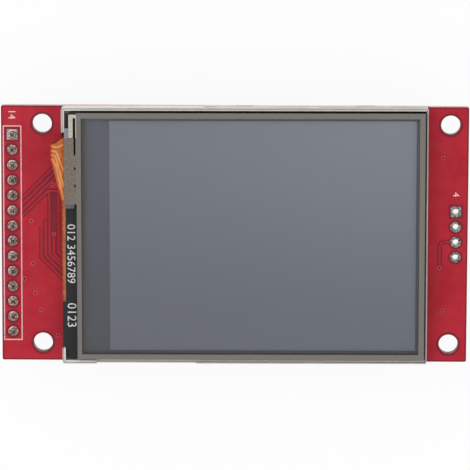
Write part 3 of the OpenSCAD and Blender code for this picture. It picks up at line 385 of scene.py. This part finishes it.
def header_land():
    """The header's lands: the square first one tinned, the others under the mask's edge."""
    made = Finish("header_land", metal=0.5)
    low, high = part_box("header_lands")
    first_reach = 2.0 * MM               # from the row's end to past the first land
    first = made.math("GREATER_THAN", made.axis("Y"), high.y - first_reach)
    stain = made.ranged(made.noise(0.4 * MM), 0.35, 0.65)
    covered = made.mix(stain, tint(146, 42, 54), tint(170, 60, 70))
    made.colour(made.mix(first, covered, made.mix(stain, tint(150, 138, 130), tint(206, 200, 192))))
    made.rough(0.3, 0.45, 0.4 * MM)
    return made.material


def pin_finish():
    """The header's pins: bright tin, and dull and darker at the soldered ends."""
    made = Finish("pin_tin", metal=1.0)
    low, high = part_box("circuit_board")
    stain = made.ranged(made.noise(0.4 * MM, detail=4.0), 0.42, 0.62)
    bright = made.mix(stain, tint(222, 220, 214), tint(204, 200, 190))
    # Darker and duller colour on the ends above the board.
    darker_soldered_end = made.mix(stain, tint(150, 145, 134), tint(96, 90, 80))
    soldered = made.math("GREATER_THAN", made.axis("Z"), high.z)
    made.colour(made.mix(soldered, bright, darker_soldered_end))
    made.rough(0.2, 0.35, 0.4 * MM)
    made.bump(made.noise(0.28 * MM, offset=9.0), 0.003 * MM)
    return made.material


def dress_board():
    dress(laminate(), "circuit_board")
    dress(mask("mask_front", (172, 29, 45), (182, 34, 51)), "front_copper")
    dress(mask("mask_back", (164, 34, 48), (178, 40, 54)), "back_copper")
    dress(plain("via_cover", (172, 56, 66), (190, 70, 80), 0.3 * MM, rough=(0.3, 0.5)), "via_rings")
    dress(ink("board_ink", (236, 184, 188)), "front_silkscreen", "back_silkscreen")
    dress(tin("tinned_land", (206, 203, 196), (120, 112, 100), 0.5 * MM), "card_port_lands",
          "back_lands")
    dress(header_land(), "header_lands")
    dress(tin("joint_solder", (232, 231, 224), (128, 122, 110), 0.45 * MM, rough=(0.2, 0.4),
              depth=0.008 * MM, metal=0.7),
          "header_solder", "display_flex_solder", "touch_flex_solder")
    dress(pin_finish(), "header_pins")
    dress(plain("header_nylon", (22, 22, 24), (34, 34, 36), 1 * MM, rough=(0.42, 0.6),
                depth=0.01 * MM), "header_body")


def dress_display():
    dress(plain("foam", (214, 212, 206), (232, 230, 226), 0.5 * MM, rough=(0.8, 0.95),
                depth=0.06 * MM), "foam_tape")
    dress(steel("tray_steel", (228, 222, 218), metal=0.8), "display_tray")
    dress(plain("frame_plastic", (214, 214, 210), (228, 228, 224), 1 * MM, rough=(0.45, 0.6),
                depth=0.01 * MM), "backlight_frame")
    dress(plain("reflector", (226, 228, 230), (238, 240, 240), 3 * MM, rough=(0.15, 0.3)),
          "reflector_sheet")
    dress(plain("guide_acrylic", (196, 206, 212), (214, 222, 226), 2 * MM, rough=(0.1, 0.25)),
          "light_guide")
    dress(plain("diffuser", (214, 212, 204), (226, 224, 216), 1 * MM, rough=(0.7, 0.9)),
          "diffuser_sheet")
    dress(plain("prism_sheet", (192, 198, 204), (212, 216, 220), 0.2 * MM, rough=(0.2, 0.35),
                depth=0.02 * MM), "lower_prism_sheet", "upper_prism_sheet")
    dress(plain("lamp_resin", (222, 206, 120), (236, 226, 160), 0.8 * MM, rough=(0.2, 0.4)),
          "backlight_leds")
    dress(flex("lamp_flex", (150, 88, 24), (186, 116, 44)), "led_flex")
    # Rim tape, black: real tape, and where it reaches over the shelf under the groove beside the
    # panel it is a black sheet that paints the groove's shade.
    dress(plain("rim_tape", (18, 18, 19), (30, 29, 28), 0.6 * MM, rough=(0.5, 0.7),
                depth=0.01 * MM), "rim_tape")
    dress(plain("gasket_tape", (34, 31, 29), (50, 46, 42), 0.4 * MM, rough=(0.6, 0.8),
                depth=0.02 * MM), "touch_gasket")
    dress(glass_plate("array_plate", cell_with_painted_reflection, (70, 84, 84)), "array_glass", "rear_polarizer")
    dress(glass_plate("filter_plate", cell_with_painted_reflection, (70, 84, 84)), "filter_glass")
    dress(polarizer(), "front_polarizer")
    dress(plain("silicon", (44, 44, 50), (66, 66, 72), 1 * MM, rough=(0.12, 0.25)), "driver_chip")
    dress(plain("ledge_tape", (12, 13, 18), (21, 22, 28), 0.7 * MM, rough=(0.45, 0.6),
                depth=0.012 * MM), "ledge_tape")
    dress(flex("main_flex", (146, 72, 26), (184, 98, 46)), "display_flex")
    dress(clear("panel_glass", 0.01), "touch_glass")
    dress(plain("ring_adhesive", (136, 128, 122), (150, 142, 136), 0.5 * MM, rough=(0.5, 0.7),
                depth=0.01 * MM), "touch_spacer")
    dress(clear("panel_film", 0.04, cover=tab_cover), "touch_film")
    dress(tin("silver_ink", (206, 202, 190), (150, 144, 130), 0.3 * MM, rough=(0.4, 0.6)),
          "touch_busbar")
    dress(flex("tail_flex", (160, 78, 18), (190, 100, 34)), "touch_flex")
    dress(flex("tail_track", (206, 122, 58), (222, 140, 78), rough=(0.25, 0.4)),
          "touch_flex_tracks")


def dress_back():
    dress(plain("socket_nylon", (20, 20, 22), (34, 34, 36), 1.5 * MM, rough=(0.45, 0.65),
                depth=0.015 * MM), "card_socket_base")
    dress(steel("socket_steel", (206, 207, 208), grain=(12, 1, 1)), "card_socket_shell")
    dress(tin("contact_gold", (226, 186, 104), (190, 146, 70), 0.8 * MM, rough=(0.2, 0.35),
              depth=0.004 * MM), "card_contacts", "card_switch_contacts")
    dress(plain("chip_epoxy", (26, 26, 28), (40, 40, 42), 0.3 * MM, rough=(0.5, 0.7),
                depth=0.01 * MM), "touch_controller", "regulator", "backlight_transistor",
          "chip_resistors")
    dress(tin("lead_tin", (208, 206, 200), (150, 144, 134), 0.3 * MM, rough=(0.25, 0.4)),
          "touch_controller_leads", "regulator_leads", "transistor_leads", "chip_terminals")
    dress(plain("ceramic", (150, 118, 84), (176, 142, 104), 0.5 * MM, rough=(0.35, 0.5)),
          "chip_capacitors")


# ---------- Printed marks ----------


def print_text(name, text, height, start, z, material):
    """Plain numerals that read along -Y, as a thin mesh. start is the first one's foot."""
    curve = bpy.data.curves.new(name, "FONT")
    curve.body = text
    curve.size = height * 1.4
    curve.extrude = 0.005 * MM
    curve.resolution_u = 3
    drawn = bpy.data.objects.new(name + "_curve", curve)
    bpy.context.scene.collection.objects.link(drawn)
    bpy.context.view_layer.update()
    graph = bpy.context.evaluated_depsgraph_get()
    mesh = bpy.data.meshes.new_from_object(drawn.evaluated_get(graph))
    bpy.data.objects.remove(drawn)
    turn = Matrix.Translation((start[0], start[1], z)) @ Matrix.Rotation(-math.pi / 2, 4, "Z")
    mesh.transform(turn)
    mesh.materials.clear()
    mesh.materials.append(material)
    made = bpy.data.objects.new(name, mesh)
    bpy.context.scene.collection.objects.link(made)
    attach(made, "root")
    return made


def printed_marks():
    white = ink("mark_ink", (226, 226, 224))
    tape_low, tape_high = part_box("ledge_tape")
    film_low, film_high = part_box("touch_film")
    z = tape_high.z + 0.008 * MM
    foot = film_low.x + 0.45 * MM
    print_text("tape_number_long", "012 3456789", 1.35 * MM, (foot, 2.0 * MM), z, white)
    print_text("tape_number_short", "0123", 1.5 * MM, (foot, -11.2 * MM), z, white)
    ring_low, ring_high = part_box("front_silkscreen")
    board_z = ring_high.z
    board_white = ink("number_ink", (244, 206, 210))
    header_low, header_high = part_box("header_lands")
    print_text("header_number", "14", 1.2 * MM,
               ((header_low.x + header_high.x) / 2 - 0.58 * MM, ring_high.y + 2.71 * MM), board_z,
               board_white)
    port_low, port_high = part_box("card_port_lands")
    print_text("port_number", "4", 1.1 * MM,
               ((port_low.x + port_high.x) / 2 - 0.5 * MM, port_high.y + 2.4 * MM), board_z,
               board_white)


# ---------- Small trim that the solids lack ----------


def add_piece(name, points, faces, material, slot):
    """A piece from points and faces, fixed to the board."""
    mesh = bpy.data.meshes.new(name)
    mesh.from_pydata(points, [], faces)
    mesh.materials.append(material)
    made = bpy.data.objects.new(name, mesh)
    bpy.context.scene.collection.objects.link(made)
    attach(made, "root")
    return made


def prism(outline, low, high):
    """Points and faces of an upright prism over an outline that runs anticlockwise."""
    count = len(outline)
    points = [(x, y, z) for z in (low, high) for x, y in outline]
    faces = [tuple(reversed(range(count))), tuple(range(count, 2 * count))]
    faces += [(i, (i + 1) % count, count + (i + 1) % count, count + i) for i in range(count)]
    return points, faces


def rounded(x0, y0, x1, y1, radius, steps=4):
    """The outline of a rectangle with round corners."""
    corners = [(x1 - radius, y0 + radius, -90), (x1 - radius, y1 - radius, 0),
               (x0 + radius, y1 - radius, 90), (x0 + radius, y0 + radius, 180)]
    return [(x + radius * math.cos(math.radians(start + 90 * i / steps)),
             y + radius * math.sin(math.radians(start + 90 * i / steps)))
            for x, y, start in corners for i in range(steps + 1)]


def islands(node):
    """The middle of each separate solid of a node, with its lowest and highest Z."""
    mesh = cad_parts[node].data
    group = list(range(len(mesh.vertices)))

    def root(i):
        while group[i] != i:
            group[i] = group[group[i]]
            i = group[i]
        return i

    for edge in mesh.edges:
        group[root(edge.vertices[0])] = root(edge.vertices[1])
    solids = {}
    for vertex in mesh.vertices:
        solids.setdefault(root(vertex.index), []).append(vertex.co)
    found = []
    for points in solids.values():
        low = [min(p[i] for p in points) for i in range(3)]
        high = [max(p[i] for p in points) for i in range(3)]
        found.append(((low[0] + high[0]) / 2, (low[1] + high[1]) / 2, low[2], high[2]))
    return sorted(found)


def via_plugs():
    """The mask's dimple over each via's hole, on either face: a small dark red disc."""
    dark = plain("via_plug", (112, 4, 16), (130, 12, 24), 0.1 * MM, rough=(0.25, 0.4))
    board_low, board_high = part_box("circuit_board")
    middle = (board_low.z + board_high.z) / 2
    radius = 0.14 * MM
    proud = 0.004 * MM
    sides = 12
    points, faces = [], []
    for x, y, low, high in islands("via_rings"):
        front = (low + high) / 2 > middle
        top = high + proud if front else low
        bottom = high if front else low - proud
        disc = [(x + radius * math.cos(math.tau * i / sides),
                 y + radius * math.sin(math.tau * i / sides)) for i in range(sides)]
        more_points, more_faces = prism(disc, bottom, top)
        faces += [tuple(i + len(points) for i in face) for face in more_faces]
        points += more_points
    add_piece("via_plugs", points, faces, dark, "via")


def film_details():
    """What lies along the panel's left side: the film's tongue, a black patch at the wall's end,
    the black strip's edge over the flex, and a bead of glue below the film's tab."""
    film_low, film_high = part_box("touch_film")
    bar_low, bar_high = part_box("touch_busbar")
    tape_low, tape_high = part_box("ledge_tape")
    tray_low, tray_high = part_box("display_tray")
    tab_top = bar_low.y - 0.1 * MM
    strip_end = tab_top - 11.2 * MM      # just below the film's tab
    tongue_l = 1.65 * MM
    wall_gap = 0.84 * MM                 # from the tab to the end of the tray's upper-left wall

    tongue = plain("film_tongue", (112, 115, 124), (134, 136, 142), 0.4 * MM, rough=(0.3, 0.5),
                   grain=0.15 * MM, depth=0.01 * MM)
    outline = rounded(film_low.x + 0.04 * MM, tab_top + 0.01 * MM, bar_low.x - 0.04 * MM,
                      tab_top + tongue_l, 0.12 * MM)
    add_piece("film_tongue", *prism(outline, film_low.z + 0.1 * MM, film_high.z - 0.01 * MM),
              tongue, "touch_film")

    # A black patch at the end of the tray's upper-left wall, and the black strip's edge.
    black_matt = plain("black_patch", (14, 13, 14), (26, 24, 25), 0.3 * MM, rough=(0.5, 0.7),
                 depth=0.01 * MM)
    outline = rounded(tray_low.x + 0.02 * MM, tab_top + 0.02 * MM, film_low.x + 0.35 * MM,
                      tab_top + wall_gap, 0.1 * MM)
    add_piece("black_patch", *prism(outline, tape_high.z - 0.12 * MM, tape_high.z - 0.02 * MM), black_matt,
              "ledge_tape")
    outline = rounded(film_low.x + 0.17 * MM, tape_low.y + 0.3 * MM, film_low.x + 0.6 * MM,
                      strip_end, 0.05 * MM)
    add_piece("strip_edge", *prism(outline, tape_high.z - 0.04 * MM, tape_high.z + 0.004 * MM),
              black_matt, "ledge_tape")

    glue = plain("glue_bead", (72, 78, 86), (100, 106, 112), 0.3 * MM, rough=(0.2, 0.35),
                 grain=0.12 * MM, depth=0.02 * MM)
    outline = rounded(film_low.x + 0.15 * MM, strip_end - 0.45 * MM, bar_high.x - 0.3 * MM,
                      strip_end + 0.25 * MM, 0.3 * MM)
    add_piece("glue_bead", *prism(outline, tape_high.z - 0.02 * MM, film_high.z - 0.02 * MM), glue,
              "gasket")


# ---------- Camera, light and floor ----------


def camera():
    """The camera looks down on the screen, tilted a little towards the board's upper side."""
    aim = Vector((-1.82, -0.14, 0.0)) * MM
    distance = 616.7 * MM
    tilt_up = math.radians(9.23)
    tilt_right = math.radians(0.66)
    roll = math.radians(0.17)
    back = Vector((math.sin(tilt_right) * math.cos(tilt_up), math.sin(tilt_up),
                   math.cos(tilt_right) * math.cos(tilt_up)))
    right = Vector((0, 1, 0)).cross(back).normalized()
    up = back.cross(right)
    right, up = (math.cos(roll) * right + math.sin(roll) * up,
                 math.cos(roll) * up - math.sin(roll) * right)
    data = bpy.data.cameras.new("camera")
    data.sensor_width = 36
    data.lens = 285.1
    data.clip_start = 0.05
    data.clip_end = 20
    made = bpy.data.objects.new("camera", data)
    turn = Matrix((right, up, back)).transposed().to_4x4()
    made.matrix_world = Matrix.Translation(aim + back * distance) @ turn
    bpy.context.scene.collection.objects.link(made)
    bpy.context.scene.camera = made


def soft_box(name, place, side, watts):
    """A square lamp that faces the part's middle."""
    data = bpy.data.lights.new(name, "AREA")
    data.size = side
    data.energy = watts
    made = bpy.data.objects.new(name, data)
    made.location = place
    made.rotation_euler = (-Vector(place)).to_track_quat("-Z", "Y").to_euler()
    bpy.context.scene.collection.objects.link(made)


def sky():
    """Soft light from all round, dimmer overhead and on the right, and white to the camera."""
    world = bpy.data.worlds.new("studio")
    bpy.context.scene.world = world
    world.use_nodes = True
    tree = world.node_tree
    tree.nodes.clear()
    coords = tree.nodes.new("ShaderNodeTexCoord")
    parts = tree.nodes.new("ShaderNodeSeparateXYZ")
    tree.links.new(coords.outputs["Generated"], parts.inputs[0])

    def ranged(socket, low, high, start, end):
        made = tree.nodes.new("ShaderNodeMapRange")
        made.interpolation_type = "SMOOTHSTEP"
        tree.links.new(socket, made.inputs["Value"])
        for key, number in zip(RANGE_KEYS, (low, high, start, end)):
            made.inputs[key].default_value = number
        return made.outputs["Result"]

    overhead = ranged(parts.outputs["Z"], 0.80, 0.96, 1.0, 0.22)
    sideways = ranged(parts.outputs["X"], -0.3, 0.9, 1.0, 0.7)
    both = tree.nodes.new("ShaderNodeMath")
    both.operation = "MULTIPLY"
    tree.links.new(overhead, both.inputs[0])
    tree.links.new(sideways, both.inputs[1])
    light = tree.nodes.new("ShaderNodeBackground")
    tree.links.new(both.outputs[0], light.inputs["Strength"])
    white = tree.nodes.new("ShaderNodeBackground")
    path = tree.nodes.new("ShaderNodeLightPath")
    pick = tree.nodes.new("ShaderNodeMixShader")
    tree.links.new(path.outputs["Is Camera Ray"], pick.inputs["Fac"])
    tree.links.new(light.outputs[0], pick.inputs[1])
    tree.links.new(white.outputs[0], pick.inputs[2])
    end = tree.nodes.new("ShaderNodeOutputWorld")
    tree.links.new(pick.outputs[0], end.inputs["Surface"])
    for background in (light, white):
        background.inputs["Color"].default_value = (1, 1, 1, 1)


def floor():
    """A pale floor that keeps the part's shadow: part paint, part glow for what looks at it."""
    side = 3.0
    mesh = bpy.data.meshes.new("floor")
    z = cad_low.z - 0.05 * MM
    corners = [(-side, -side, z), (side, -side, z), (side, side, z), (-side, side, z)]
    mesh.from_pydata(corners, [], [(0, 1, 2, 3)])
    made = bpy.data.objects.new("floor", mesh)
    bpy.context.scene.collection.objects.link(made)
    paint = Finish("floor_paint", rough=0.9, specular=0.0)
    paint.colour(tint(248, 248, 248))
    glow = paint.node("ShaderNodeEmission")
    glow.inputs["Strength"].default_value = 1.0
    path = paint.node("ShaderNodeLightPath")
    seen = paint.math("MAXIMUM", path.outputs["Is Camera Ray"],
                      paint.math("MAXIMUM", path.outputs["Is Glossy Ray"],
                                 path.outputs["Is Transmission Ray"]))
    share = paint.node("ShaderNodeMixShader")
    paint.link(paint.math("MULTIPLY", seen, 0.9), share.inputs["Fac"])
    paint.link(paint.shader.outputs[0], share.inputs[1])
    paint.link(glow.outputs[0], share.inputs[2])
    paint.link(share.outputs[0], paint.output.inputs["Surface"])
    mesh.materials.append(paint.material)


camera()
sky()
floor()
soft_box("key", (-0.30, 0.20, 0.60), 0.5, 1.3)
soft_box("fill", (0.40, -0.20, 0.45), 0.4, 0.5)
dress_board()
dress_display()
dress_back()
printed_marks()
via_plugs()
film_details()

bpy.context.scene.view_settings.view_transform = "Standard"
bpy.context.scene.cycles.transparent_max_bounces = 24
